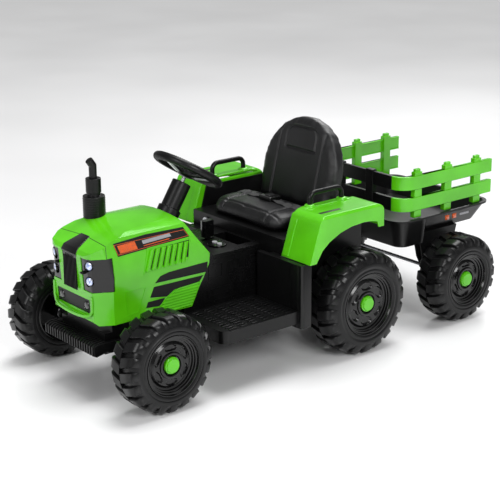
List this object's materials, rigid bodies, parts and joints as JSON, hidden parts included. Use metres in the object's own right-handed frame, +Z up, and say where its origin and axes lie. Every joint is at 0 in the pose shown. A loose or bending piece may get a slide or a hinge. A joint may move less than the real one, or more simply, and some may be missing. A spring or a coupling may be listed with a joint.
{
  "type": "ride-on toy tractor with trailer",
  "caption": "Child's battery ride-on tractor with steered front wheels, hooded nose, seat, fenders with grab handles and a railed two-wheel trailer on a drawbar.",
  "frame": {"origin": "on the ground under the middle of the overall length, on the centre plane", "axes": "+X forward along the tractor and trailer, +Y to the driver's left, +Z up"},
  "size_m": [1.336, 0.624, 0.593],
  "materials": {
    "green_gloss": "gloss",
    "black_moulding": "satin",
    "wheel_plastic": "satin",
    "black_gloss": "gloss",
    "steel": "zinc plated",
    "painted_steel": "satin black",
    "lens_clear": "clear",
    "leather_black": "soft grain",
    "webbing": "woven",
    "grip_plastic": "fine grain",
    "inner_plastic": "plain",
    "motor_metal": "plain",
    "silver_plastic": "silver"
  },
  "bodies": {
    "chassis": {"chassis_pan": "black_moulding", "rear_body": "black_moulding", "battery": "inner_plastic", "control_box": "inner_plastic", "gearboxes": "inner_plastic", "drive_motors": "motor_metal", "rear_axle": "steel", "front_axle_beam": "black_moulding", "front_bumper": "black_moulding", "hood_shell": "green_gloss", "grille": "black_moulding", "headlamp_housings": "black_gloss", "headlamp_lenses": "lens_clear", "fog_panel": "black_moulding", "hood_trim": "black_gloss", "dash_panel": "black_moulding", "steering_column": "black_moulding", "muffler": "black_moulding", "exhaust_pipe": "black_moulding", "console_box": "black_moulding", "control_panel": "black_gloss", "seat_cushion": "leather_black", "seat_back": "leather_black", "seat_belt": "webbing", "belt_buckle": "black_gloss", "fender_left": "green_gloss", "fender_right": "green_gloss", "handle_left": "grip_plastic", "handle_right": "grip_plastic", "charge_socket": "inner_plastic", "hitch_bracket": "painted_steel"},
    "steering": {"steering_shaft": "steel", "steering_wheel": "grip_plastic"},
    "horn": {"horn_button": "black_gloss"},
    "tie_rod": {"tie_rod": "steel"},
    "knuckle_left": {"knuckle_left": "steel"},
    "knuckle_right": {"knuckle_right": "steel"},
    "wheel_front_left": {"wheel_front_left": "wheel_plastic", "cap_front_left": "green_gloss"},
    "wheel_front_right": {"wheel_front_right": "wheel_plastic", "cap_front_right": "green_gloss"},
    "wheel_rear_left": {"wheel_rear_left": "wheel_plastic", "cap_rear_left": "green_gloss"},
    "wheel_rear_right": {"wheel_rear_right": "wheel_plastic", "cap_rear_right": "green_gloss"},
    "wheel_trailer_left": {"wheel_trailer_left": "wheel_plastic", "cap_trailer_left": "green_gloss"},
    "wheel_trailer_right": {"wheel_trailer_right": "wheel_plastic", "cap_trailer_right": "green_gloss"},
    "trailer": {"trailer_tray": "black_moulding", "front_rail": "black_moulding", "rail_left": "green_gloss", "rail_right": "green_gloss", "drawbar": "painted_steel", "trailer_axle": "steel"},
    "hitch_pin": {"hitch_pin": "steel"},
    "pedal": {"pedal": "grip_plastic"},
    "gear_lever": {"gear_lever": "black_gloss"},
    "power_button": {"power_button": "silver_plastic"},
    "sound_button": {"sound_button": "silver_plastic"}
  },
  "joints": [
    {"name": "steer", "type": "hinge", "parent": "chassis", "child": "steering", "pos_m": [0.277, 0, 0.503], "axis": [-0.5446, 0, 0.8387], "range_deg": [-35, 35]},
    {"name": "kingpin_left", "type": "hinge", "parent": "chassis", "child": "knuckle_left", "pos_m": [0.544, 0.182, 0.15], "axis": [0, 0, 1], "range_deg": [-22.1, 22.1]},
    {"name": "kingpin_right", "type": "hinge", "parent": "chassis", "child": "knuckle_right", "pos_m": [0.544, -0.182, 0.15], "axis": [0, 0, 1], "range_deg": [-22.1, 22.1]},
    {"name": "tie_rod_slide", "type": "slide", "parent": "chassis", "child": "tie_rod", "axis": [0, 1, 0], "range_m": [-0.0172, 0.0172]},
    {"name": "horn_press", "type": "slide", "parent": "steering", "child": "horn", "axis": [0.5446, 0, -0.8387], "range_m": [0, 0.002], "stiffness_N_per_m": 400, "springref_m": -0.001},
    {"name": "roll_front_left", "type": "hinge", "parent": "knuckle_left", "child": "wheel_front_left", "pos_m": [0.544, 0.242, 0.124], "axis": [0, 1, 0], "continuous": true},
    {"name": "roll_front_right", "type": "hinge", "parent": "knuckle_right", "child": "wheel_front_right", "pos_m": [0.544, -0.242, 0.124], "axis": [0, 1, 0], "continuous": true},
    {"name": "roll_rear_left", "type": "hinge", "parent": "chassis", "child": "wheel_rear_left", "pos_m": [-0.075, 0.2585, 0.14], "axis": [0, 1, 0], "continuous": true},
    {"name": "roll_rear_right", "type": "hinge", "parent": "chassis", "child": "wheel_rear_right", "pos_m": [-0.075, -0.2585, 0.14], "axis": [0, 1, 0], "continuous": true},
    {"name": "roll_trailer_left", "type": "hinge", "parent": "trailer", "child": "wheel_trailer_left", "pos_m": [-0.461, 0.258, 0.122], "axis": [0, 1, 0], "continuous": true},
    {"name": "roll_trailer_right", "type": "hinge", "parent": "trailer", "child": "wheel_trailer_right", "pos_m": [-0.461, -0.258, 0.122], "axis": [0, 1, 0], "continuous": true},
    {"name": "hitch_yaw", "type": "hinge", "parent": "chassis", "child": "trailer", "pos_m": [-0.191, 0, 0.1415], "axis": [0, 0, 1], "range_deg": [-20, 20]},
    {"name": "hitch_pin_lift", "type": "slide", "parent": "chassis", "child": "hitch_pin", "axis": [0, 0, 1], "range_m": [0, 0.05]},
    {"name": "pedal_press", "type": "hinge", "parent": "chassis", "child": "pedal", "pos_m": [0.304, -0.185, 0.174], "axis": [0, 1, 0], "range_deg": [0, 12], "stiffness_Nm_per_rad": 1.2, "springref_deg": -5.73},
    {"name": "gear_select", "type": "hinge", "parent": "chassis", "child": "gear_lever", "pos_m": [0.207, -0.014, 0.284], "axis": [0, 1, 0], "range_deg": [-15, 15]},
    {"name": "power_press", "type": "slide", "parent": "chassis", "child": "power_button", "axis": [0, 0, -1], "range_m": [0, 0.0015], "stiffness_N_per_m": 300, "springref_m": -0.001},
    {"name": "sound_press", "type": "slide", "parent": "chassis", "child": "sound_button", "axis": [0, 0, -1], "range_m": [0, 0.0015], "stiffness_N_per_m": 300, "springref_m": -0.001}
  ],
  "couplings": [
    {"joint": "kingpin_left", "follows": "steer", "ratio": 0.62857},
    {"joint": "kingpin_right", "follows": "steer", "ratio": 0.62857},
    {"joint": "tie_rod_slide", "follows": "steer", "m_per_rad": -0.0279}
  ]
}
